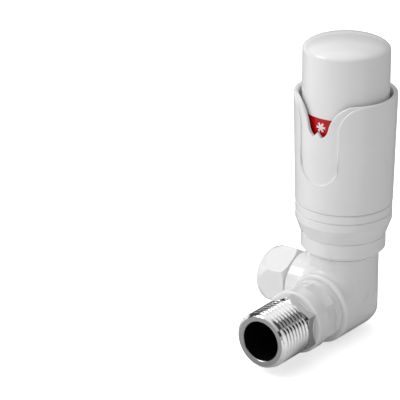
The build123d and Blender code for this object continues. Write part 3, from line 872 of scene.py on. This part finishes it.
@dataclass
class PipeNut:
    """Compression nut with the groove behind its hexagon that shows as a dark line."""

    inner_end: float = 12.6
    thread_r: float = 10.4775
    thread_edge: float = 0.5
    groove_start: float = 17.5
    groove_r: float = 9.5
    run_out: float = 0.4
    hex_start: float = 19.2
    hex_flats: float = 20.6
    hex_turn: float = 30.0
    round_r: float = 11.8
    chamfer_r: float = 10.5
    chamfer_end: float = 20.05
    hex_end: float = 26.2
    end: float = 32.6
    end_r: float = 9.0
    end_round: float = 3.0
    end_steps: int = 24
    cone_r: float = 9.2
    cone_start: float = 13.5
    cone_end: float = 15.7
    bore_r: float = 7.6
    bore_edge: float = 0.06
    step: float = 0.25
    sides: int = 288
    sharp: float = 25.0

    def build(self, shelf: FinishShelf) -> Object:
        """Makes the nut and sets it in its body.

        Args:
            shelf: Where the finishes come from.

        Returns:
            The finished piece.
        """
        thread = rounded([(self.cone_r, self.inner_end),
                          (self.thread_r, self.inner_end, self.thread_edge),
                          (self.thread_r, self.groove_start),
                          (self.groove_r, self.groove_start + self.run_out),
                          (self.groove_r, self.hex_start)])
        head = refined([(self.groove_r, self.hex_start), (self.chamfer_r, self.hex_start),
                        (self.round_r, self.chamfer_end), (self.round_r, self.hex_end)],
                       self.step)
        end = rounded([(self.round_r, self.hex_end), (self.end_r, self.end, self.end_round),
                       (0.0, self.end)], self.end_steps)
        end = [point for point in end if point[0] > self.bore_r + self.bore_edge]
        mouth = (self.bore_r, end[-1][1] - self.bore_edge)
        head += refined(end + [mouth], self.step)
        bore = [mouth, (self.bore_r, self.cone_end), (self.cone_r, self.cone_start),
                (self.cone_r, self.inner_end)]
        lathe = Lathe(Run.PIPE, self.sides)
        lathe.turn(thread)
        lathe.turn(head, six_flats(self.hex_flats, self.hex_turn, self.hex_start, self.end))
        lathe.turn(bore)
        piece = lathe.finish("pipe_nut_grooved", self.sharp)
        shelf.dress(piece, ENAMEL)
        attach(piece, "pipe_nut")
        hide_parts("pipe_nut")
        return piece


@dataclass
class Knob:
    """White knob with the flat-crowned top of the real one, hollow as the solid is."""

    low: float = 40.0
    lip_r: float = 12.9
    lip_top: float = 41.2
    bore_r: float = 13.7
    bore_rim: float = 93.2
    bore_rise: float = 4.35
    skirt_r: float = 14.7
    bead_span: tuple[float, float] = (57.15, 57.95)
    bead: float = 0.25
    shoulder: float = 73.2
    shoulder_edge: float = 0.15
    radius: float = 15.7
    rim: float = 94.96
    rise: float = 4.39
    steps: int = 28
    sides: int = 192

    def crown(self, radius: float, rim: float, rise: float) -> Outline:
        """Quarter of an ellipse, from the wall's top to the middle of the crown."""
        turns = np.linspace(0.0, pi / 2, self.steps)
        return [(radius * cos(t), rim + rise * sin(t)) for t in turns]

    def build(self, shelf: FinishShelf) -> Object:
        """Makes the knob and sets it in its body.

        Args:
            shelf: Where the finishes come from.

        Returns:
            The finished piece.
        """
        low, high = self.bead_span
        outside = [(self.lip_r, self.low), (self.skirt_r, self.low), (self.skirt_r, low),
                   (self.skirt_r + self.bead, (low + high) / 2), (self.skirt_r, high),
                   (self.skirt_r, self.shoulder), (self.radius - self.shoulder_edge, self.shoulder),
                   (self.radius, self.shoulder + self.shoulder_edge)]
        outside += self.crown(self.radius, self.rim, self.rise)
        inside = [(self.lip_r, self.low), (self.lip_r, self.lip_top), (self.bore_r, self.lip_top)]
        inside += self.crown(self.bore_r, self.bore_rim, self.bore_rise)
        lathe = Lathe(Run.HEAD, self.sides)
        lathe.turn(outside)
        lathe.turn(inside)
        piece = lathe.finish("knob_crowned")
        shelf.dress(piece, SHELL)
        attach(piece, "handwheel")
        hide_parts("handwheel")
        return piece


@dataclass(frozen=True)
class Window:
    """Cut in the sleeve's front, seen from the front: round below, flared above."""

    low: float
    half_width: float
    flare_low: float
    flare_half_width: float
    rim_slope: float = 0.25       # rise of the flare where it meets the rim
    round_points: int = 24
    flare_points: int = 40

    def line(self, rim: float, tooth: Outline | None = None) -> list[EdgePoint]:
        """The cut's edge from the left end of its flare to the right one.

        Args:
            rim: Height of the flare's ends.
            tooth: Points of a tooth that stands in the bottom, from left to right.

        Returns:
            The points of the edge.
        """
        centre = self.low + self.half_width
        last = acos(max(0.0, centre - self.flare_low) / self.half_width)
        start = Vector((self.half_width * sin(last), self.flare_low))
        end = Vector((self.flare_half_width, rim))
        chord = (end - start).length
        leave = Vector((cos(last), sin(last))) * chord
        arrive = Vector((1, self.rim_slope)).normalized() * chord
        half: list[EdgePoint] = []
        if tooth:
            half += [(x, z, True) for x, z in tooth if x >= 0]
        first = asin(tooth[-1][0] / self.half_width) if tooth else 0.0
        for turn in np.linspace(first, last, self.round_points):
            half.append((self.half_width * sin(turn),
                         centre - self.half_width * cos(turn), False))
        for t in np.linspace(0.0, 1.0, self.flare_points):
            point = (start * (2 * t ** 3 - 3 * t ** 2 + 1) + leave * (t ** 3 - 2 * t ** 2 + t)
                     + end * (3 * t ** 2 - 2 * t ** 3) + arrive * (t ** 3 - t ** 2))
            half.append((point[0], point[1], False))
        return [(-x, z, keep) for x, z, keep in reversed(half) if x > 0] + half


@dataclass
class Sleeve:
    """Tapered sleeve whose notch, tooth and thumb recess have the real one's soft edges."""

    foot: float = 37.8
    rim: float = 79.3
    foot_r: float = 17.6
    rim_r: float = 18.595
    wall: float = 1.8
    bore_r: float = 14.8
    flange_top: float = 38.9
    end_band: float = 2.0         # height of the plain band over the foot and over the flange
    foot_edge: float = 0.7
    inner_edge: float = 0.8
    notch: Window = Window(66.4, 4.4, 70.0, 12.2)
    thumb: Window = Window(48.7, 8.0, 69.0, 15.0)
    tooth_half: float = 1.7
    tooth_foot: float = 0.35      # the tooth's foot stands this far above the notch's lowest point
    tooth_top: float = 68.7
    recess: float = 0.55
    recess_edge: float = 0.22
    recess_end: float = 0.3       # the recess ends this far under the rim's rounding
    recess_fade: float = 14.0     # columns over which the recess runs out at each side
    rim_round: float = 0.6
    rim_reach: float = 4.0        # the lip grows to the rim's rounding over this height
    notch_round: float = 0.42
    tooth_round: float = 0.14
    tooth_reach: float = 2.0      # the lip is tight for this height, then grows over as much
    front_columns: int = 321
    back_columns: int = 160
    smoothings: int = 3
    wall_rows: int = 25
    recess_rows: int = 17
    recess_steps: int = 3
    lip_steps: int = 5
    sharp: float = 45.0

    def outer_r(self, height: Array | float) -> Array | float:
        """Radius of the tapered outside at a height."""
        slope = (self.rim_r - self.foot_r) / (self.rim - self.foot)
        return self.foot_r + slope * (height - self.foot)

    def spread(self, line: list[EdgePoint]) -> Array:
        """Spaces the front columns evenly along an edge, with its corners kept.

        Args:
            line: The edge's points.

        Returns:
            Angle from the front and height of each front column.
        """
        points = np.array([(asin(x / self.outer_r(z)), z) for x, z, _ in line])
        flat = points * np.array([self.rim_r, 1.0])
        run = np.concatenate([[0.0], np.cumsum(np.linalg.norm(np.diff(flat, axis=0), axis=1))])
        last = self.front_columns - 1
        stations = [0.0] + [run[n] for n, point in enumerate(line) if point[2]] + [run[-1]]
        places = [round(s / run[-1] * last) for s in stations]
        wanted = np.interp(np.arange(last + 1), places, stations)
        return np.stack([np.interp(wanted, run, column) for column in points.T], axis=1)

    def around(self, line: list[EdgePoint]) -> Array:
        """An edge all round: its front columns, then the rim behind.

        Args:
            line: The edge's points in front, which end at the rim.

        Returns:
            Angle from the front and height of every column.
        """
        front = self.spread(line)
        end = front[-1, 0]
        behind = np.linspace(end, 2 * pi - end, self.back_columns + 2)[1:-1]
        return np.concatenate([front, np.stack([behind, np.full(len(behind), self.rim)], axis=1)])

    def into_wall(self, edge: Array) -> Array:
        """Direction from an edge into the material, on the unrolled wall.

        Args:
            edge: Angle and height of every column.

        Returns:
            Unit vector of every column, smoothed a little round the corners.
        """
        flat = edge * np.array([self.rim_r, 1.0])
        ahead, back = np.roll(flat, -1, axis=0), np.roll(flat, 1, axis=0)
        ahead[-1, 0] += 2 * pi * self.rim_r
        back[0, 0] -= 2 * pi * self.rim_r
        along = ahead - back
        normal = np.stack([along[:, 1], -along[:, 0]], axis=1)
        normal /= np.linalg.norm(normal, axis=1, keepdims=True)
        for _ in range(self.smoothings):
            normal = normal + (np.roll(normal, 1, axis=0) + np.roll(normal, -1, axis=0)) / 2
            normal /= np.linalg.norm(normal, axis=1, keepdims=True)
        return normal

    def offset(self, edge: Array, normal: Array, by: Array | float) -> Array:
        """Moves an edge along the wall by a distance, into the material."""
        step = normal * np.asarray(by).reshape(-1, 1)
        return edge + step / np.array([self.rim_r, 1.0])

    @staticmethod
    def at(edge: Array, radius: Array | float) -> Array:
        """Points of a ring at a radius; the front is on -Y."""
        angle = edge[:, 0] - pi / 2
        return np.stack([radius * np.cos(angle), radius * np.sin(angle), edge[:, 1]], axis=1)

    def ring(self, edge: Array, depth: Array | float) -> Array:
        """Points of a ring that lies at a depth under the tapered outside."""
        return self.at(edge, self.outer_r(edge[:, 1]) - depth)

    def rows(self, start: Array, stop: Array, count: int,
             depth: Array | float) -> list[Array]:
        """Rings at even steps from one edge to another, without the first.

        Args:
            start: The edge that the rows leave from.
            stop: The edge that the last row lies on.
            count: Number of rows.
            depth: How deep they lie under the outside.

        Returns:
            The rings.
        """
        return [self.ring(start + (stop - start) * share, depth)
                for share in np.linspace(0.0, 1.0, count + 1)[1:]]

    def notch_line(self) -> list[EdgePoint]:
        """The notch's edge with its tooth, and the rim on both sides of it.

        Returns:
            The edge's points.
        """
        foot = self.notch.low + self.tooth_foot
        tooth = [(-self.tooth_half, foot), (0.0, self.tooth_top), (self.tooth_half, foot)]
        left, right = ((side * self.thumb.flare_half_width, self.rim, False) for side in (-1, 1))
        cut = [(x, z, keep or abs(x) == self.notch.flare_half_width)
               for x, z, keep in self.notch.line(self.rim, tooth)]
        return [left] + cut + [right]

    def lip(self, edge: Array) -> Array:
        """Rounding of the notch's edge: least at the tooth, most at the rim.

        Args:
            edge: Angle and height of every column.

        Returns:
            Radius of the rounding at every column.
        """
        above_tooth = (edge[:, 1] - self.notch.low - self.tooth_reach) / self.tooth_reach
        near_rim = (edge[:, 1] - self.rim + self.rim_reach) / self.rim_reach
        return (self.tooth_round
                + (self.notch_round - self.tooth_round) * np.clip(above_tooth, 0.0, 1.0)
                + (self.rim_round - self.notch_round) * np.clip(near_rim, 0.0, 1.0))

    def rings(self) -> list[Array]:
        """Every ring, from the foot's bore over the outside, the lip and the inside.

        Returns:
            The rings, with the first again at the end.
        """
        edge, recess = self.around(self.notch_line()), self.around(self.thumb.line(self.rim))
        normal, recess_normal = self.into_wall(edge), self.into_wall(recess)
        index, last = np.arange(len(edge)), self.front_columns - 1
        run_out = np.minimum(index, last - index) / self.recess_fade
        depth = self.recess * np.clip(run_out, 0.0, 1.0)
        recess[:, 1] = np.minimum(recess[:, 1], self.rim - self.rim_round - self.recess_end)
        front = np.linspace(edge[0, 0], edge[last, 0], self.front_columns)
        angles = np.concatenate([front, edge[self.front_columns:, 0]])

        def level(height: float) -> Array:
            """A straight ring at a height, as an edge."""
            return np.stack([angles, np.full(len(angles), height)], axis=1)

        def band(corners: Sequence[tuple[float, ...]]) -> list[Array]:
            """Straight rings along an outline with rounded corners."""
            return [self.at(level(z), r) for r, z in rounded(corners)]

        def recess_at(by: float) -> Array:
            """The recess's edge, moved into the material."""
            return self.offset(recess, recess_normal, by)

        foot_top, flange_band = self.foot + self.end_band, self.flange_top + self.end_band
        lip, soft = self.lip(edge), self.recess_edge
        rings = band([(self.bore_r, self.foot), (self.foot_r, self.foot, self.foot_edge),
                      (float(self.outer_r(foot_top)), foot_top)])
        rings += self.rows(level(foot_top), recess_at(soft), self.wall_rows, 0.0)
        for left, sunk in quarter_turn(self.recess_steps)[1:]:
            rings.append(self.ring(recess_at(soft * left), np.minimum(soft * sunk, depth / 2)))
        for left, sunk in quarter_turn(self.recess_steps):
            rings.append(self.ring(recess_at(-soft * sunk),
                                   np.maximum(depth - soft * left, depth / 2)))
        rings += self.rows(recess_at(-soft), self.offset(edge, normal, lip), self.recess_rows,
                           depth)
        for left, sunk in quarter_turn(self.lip_steps)[1:]:
            rings.append(self.ring(self.offset(edge, normal, lip * left), depth + lip * sunk))
        for left, sunk in quarter_turn(self.lip_steps):
            rings.append(self.ring(self.offset(edge, normal, lip * sunk),
                                   self.wall - lip * left))
        rings += self.rows(self.offset(edge, normal, lip), level(flange_band), self.wall_rows,
                           self.wall)
        rings += band([(float(self.outer_r(flange_band)) - self.wall, flange_band),
                       (float(self.outer_r(self.flange_top)) - self.wall, self.flange_top,
                        self.inner_edge), (self.bore_r, self.flange_top)])
        return rings + rings[:1]

    def build(self, shelf: FinishShelf) -> Object:
        """Makes the sleeve and sets it in its body.

        Args:
            shelf: Where the finishes come from.

        Returns:
            The finished piece.
        """
        lathe = Lathe(Run.HEAD)
        lathe.stitch(self.rings())
        piece = lathe.finish("sleeve_soft_edged", self.sharp)
        shelf.dress(piece, SHELL)
        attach(piece, "head")
        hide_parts("head_sleeve")
        return piece


@dataclass
class DialMarks:
    """Frost mark and numbers printed on the dial ring, bent round it."""

    dial_r: float = 15.5
    height: float = 69.9
    facing: float = -90.0
    step: float = 60.0
    numbers: str = "12345"
    number_height: float = 4.0
    number_fineness: int = 6
    ink: float = 0.03
    strip: float = 0.45
    weld: float = 0.001
    arms: int = 6
    arm_length: float = 1.95
    arm_half_width: float = 0.42
    arm_fork: float = 0.3
    hub_r: float = 0.72

    def frost_mark(self) -> Mesh:
        """Six forked arms round a hub, drawn flat.

        Returns:
            A flat mesh of one face.
        """
        half = pi / self.arms
        corners = [Vector((cos(half), -sin(half))) * self.hub_r,
                   Vector((self.arm_length, -self.arm_half_width)),
                   Vector((self.arm_length - self.arm_fork, 0.0)),
                   Vector((self.arm_length, self.arm_half_width))]
        points = [Matrix.Rotation(2 * pi * arm / self.arms, 2) @ corner
                  for arm in range(self.arms) for corner in corners]
        mesh = bpy.data.meshes.new("frost_mark")
        mesh.from_pydata([(x, y, 0.0) for x, y in points], [], [list(range(len(points)))])
        return mesh

    def number(self, body: str) -> Mesh:
        """One number, drawn flat and centred.

        Args:
            body: The number's text.

        Returns:
            A flat mesh whose height is the number's height.
        """
        curve = bpy.data.curves.new("number", "FONT")
        curve.body = body
        curve.resolution_u = self.number_fineness
        mesh = final_mesh(in_scene("number_carrier", curve))
        corners = np.array([tuple(v.co) for v in mesh.vertices])
        low, high = corners.min(axis=0), corners.max(axis=0)
        scale = self.number_height / (high[1] - low[1])
        middle = Vector((low + high) / 2)
        mesh.transform(Matrix.Scale(scale, 4) @ Matrix.Translation(-middle))
        return mesh

    def bend(self, flat: Mesh, turn: float) -> Mesh:
        """Cuts a flat mark into strips, gives it its thickness and bends it round the dial.

        Args:
            flat: The mark, in the XY plane.
            turn: Angle of its middle on the dial, in degrees.

        Returns:
            The mark about Z, in millimetres.
        """
        skin = bmesh.new()
        skin.from_mesh(flat)
        bmesh.ops.remove_doubles(skin, verts=skin.verts[:], dist=self.weld)
        bmesh.ops.triangulate(skin, faces=skin.faces[:])
        reach = max(abs(v.co.x) for v in skin.verts)
        for cut in np.arange(-reach, reach, self.strip)[1:]:
            everything = skin.verts[:] + skin.edges[:] + skin.faces[:]
            bmesh.ops.bisect_plane(skin, geom=everything, plane_co=(cut, 0, 0),
                                   plane_no=(1, 0, 0))
        raised = bmesh.ops.extrude_face_region(skin, geom=skin.faces[:])["geom"]
        for corner in raised:
            if isinstance(corner, bmesh.types.BMVert):
                corner.co.z = 2 * self.ink
        bmesh.ops.recalc_face_normals(skin, faces=skin.faces[:])
        for vertex in skin.verts:
            across, up, out = vertex.co
            angle = radians(turn) + across / self.dial_r
            radius = self.dial_r + out - self.ink
            vertex.co = (radius * cos(angle), radius * sin(angle), self.height + up)
        mesh = bpy.data.meshes.new("mark")
        skin.to_mesh(mesh)
        skin.free()
        return mesh

    def build(self, shelf: FinishShelf) -> Object:
        """Prints the marks on the dial.

        Args:
            shelf: Where the finishes come from.

        Returns:
            The finished piece.
        """
        whole = bmesh.new()
        flats = [self.frost_mark()] + [self.number(body) for body in self.numbers]
        for place, flat in enumerate(flats):
            whole.from_mesh(self.bend(flat, self.facing - self.step * place))
        mesh = bpy.data.meshes.new("dial_marks")
        whole.to_mesh(mesh)
        whole.free()
        mesh.transform(Run.HEAD.matrix())
        piece = in_scene("dial_marks", mesh)
        shelf.dress(piece, DIAL_WHITE)
        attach(piece, "handwheel")
        return piece


@dataclass
class Studio:
    """Pale floor, soft lights, white background and the photograph's camera."""

    azimuth: float = 36.8
    elevation: float = 22.3
    focal_px: float = 3000.0
    px_per_mm: float = 2.74
    crossing_px: tuple[float, float] = (342.0, 294.3)
    image_px: float = 400.0
    sensor: float = 36.0
    clip: tuple[float, float] = (0.01, 50.0)
    room: tuple[float, float] = (0.34, 0.90)             # light from the right and from the left
    room_turns: tuple[float, float] = (-0.5, 0.9)        # where it starts and ends to change
    mirror_gain: float = 1.15
    band: tuple[float, float, float] = (0.33, 0.18, 0.08)    # middle, half height and level
    band_core: float = 0.6                               # share of the band at its full depth
    floor_gap: float = 0.3
    floor_half: float = 6.0
    floor_tone: float = 0.9
    floor_glow: float = 0.6
    floor_mirrored: tuple[float, float] = (1.0, 0.3)     # tone in front and behind, in mirrors only: painted shade behind
    floor_fades: tuple[float, float] = (-0.05, 0.015)    # where that change starts and ends
    lamps: tuple[tuple[str, tuple[float, float, float], float, float], ...] = (
        ("key", (-0.62, -0.5, 0.75), 0.5, 2.95), ("top", (-0.1, 0.1, 1.1), 1.2, 3.2))
    lamps_aim: float = 40.0                              # above the crossing of the axes

    def camera(self) -> None:
        """Places the camera where the photograph was taken from."""
        a, e = radians(self.azimuth), radians(self.elevation)
        back = Vector((sin(a) * cos(e), -cos(a) * cos(e), sin(e)))
        right = Vector((cos(a), sin(a), 0.0))
        up = back.cross(right)
        aside, below = ((px - self.image_px / 2) / self.px_per_mm for px in self.crossing_px)
        distance = self.focal_px / self.px_per_mm
        data = bpy.data.cameras.new("photo_camera")
        data.sensor_width = self.sensor
        data.lens = self.sensor * self.focal_px / self.image_px
        data.clip_start, data.clip_end = self.clip
        camera = in_scene("photo_camera", data)
        place = CROSSING + (back * distance - right * aside + up * below) * MM
        turn = Matrix((right, up, back)).transposed().to_4x4()
        camera.matrix_world = Matrix.Translation(place) @ turn
        bpy.context.scene.camera = camera

    @staticmethod
    def rays(w: TreeWriter) -> tuple[Socket, Socket]:
        """Adds the test of what kind a ray is.

        Args:
            w: Writer of the tree that asks.

        Returns:
            Whether it is mirrored, and whether it comes from the camera or through glass.
        """
        path = w.add("ShaderNodeLightPath").outputs
        seen = w.maths("MAXIMUM", path["Is Camera Ray"], path["Is Transmission Ray"])
        return path["Is Glossy Ray"], seen

    def background(self) -> None:
        """White where the camera looks past the valve; brighter on the left for the light."""
        world = bpy.data.worlds.new("studio")
        bpy.context.scene.world = world
        w = TreeWriter.emptied(world)
        glossy, seen = self.rays(w)
        towards = w.add("ShaderNodeTexCoord").outputs["Generated"]
        a = radians(self.azimuth)
        side = w.vector_maths("DOT_PRODUCT", towards, (-cos(a), -sin(a), 0.0))
        left = w.mapped(side.outputs["Value"], self.room_turns, self.room, "SMOOTHSTEP")
        height = w.add("ShaderNodeSeparateXYZ", {0: towards}).outputs["Z"]
        middle, half, level = self.band
        off_band = w.maths("ABSOLUTE", w.maths("SUBTRACT", height, middle))
        band = w.mapped(off_band, (half * self.band_core, half), (level, 1.0))
        mirrored = w.maths("MULTIPLY", w.maths("MULTIPLY", left, self.mirror_gain), band)
        strength = w.mixed(seen, w.mixed(glossy, left, mirrored), 1.0)
        shine = w.add("ShaderNodeBackground", {"Color": grey(1.0), "Strength": strength})
        w.add("ShaderNodeOutputWorld", {"Surface": shine.outputs[0]})

    def floor(self) -> None:
        """A pale floor just under the valve; mirrors see it painted darker behind, as painted shade.
        """
        level = CAD_BOX[0][2] - self.floor_gap * MM
        mesh = bpy.data.meshes.new("floor")
        half = self.floor_half
        mesh.from_pydata([(-half, -half, level), (half, -half, level), (half, half, level),
                          (-half, half, level)], [], [(0, 1, 2, 3)])
        floor = in_scene("floor", mesh)
        made = bpy.data.materials.new("pale_floor")
        w = TreeWriter.emptied(made)
        glossy, seen = self.rays(w)
        # painted shade in reflections: glossy rays alone see the floor darker behind the valve
        depth = w.add("ShaderNodeSeparateXYZ", {0: w.place()}).outputs["Y"]
        mirrored = w.mapped(depth, self.floor_fades, self.floor_mirrored, "SMOOTHSTEP")
        matte = w.add("ShaderNodeBsdfDiffuse",
                      {"Color": w.mixed(glossy, self.floor_tone, mirrored)})
        glow = w.add("ShaderNodeEmission", {"Color": grey(1.0), "Strength": self.floor_glow})
        lit = w.add("ShaderNodeAddShader", {0: matte.outputs[0], 1: glow.outputs[0]})
        shown = w.add("ShaderNodeMixShader", {0: seen, 1: matte.outputs[0], 2: lit.outputs[0]})
        w.add("ShaderNodeOutputMaterial", {"Surface": shown.outputs[0]})
        mesh.materials.append(made)

    def lights(self) -> None:
        """Large soft lamps."""
        for name, place, size, power in self.lamps:
            data = bpy.data.lights.new(name, "AREA")
            data.shape = "DISK"
            data.size = size
            data.energy = power
            lamp = in_scene(name, data)
            lamp.location = place
            aim = CROSSING + Vector((0, 0, self.lamps_aim)) * MM - Vector(place)
            lamp.rotation_euler = aim.to_track_quat("-Z", "Y").to_euler()

    def build(self) -> None:
        """Builds the studio."""
        bpy.context.scene.view_settings.view_transform = "Standard"
        self.camera()
        self.background()
        self.floor()
        self.lights()


def main() -> None:
    """Builds the studio and the valve's looks in order."""
    logging.basicConfig(level=logging.INFO, format="%(name)s: %(message)s")
    Studio().build()
    shelf = FinishShelf()
    shelf.dress_cad_nodes()
    for maker in (RadiatorTail(), PipeNut(), Knob(), Sleeve(), DialMarks()):
        piece = maker.build(shelf)
        LOG.info("%s: %d faces", piece.name, len(piece.data.polygons))


if __name__ == "__main__":
    main()
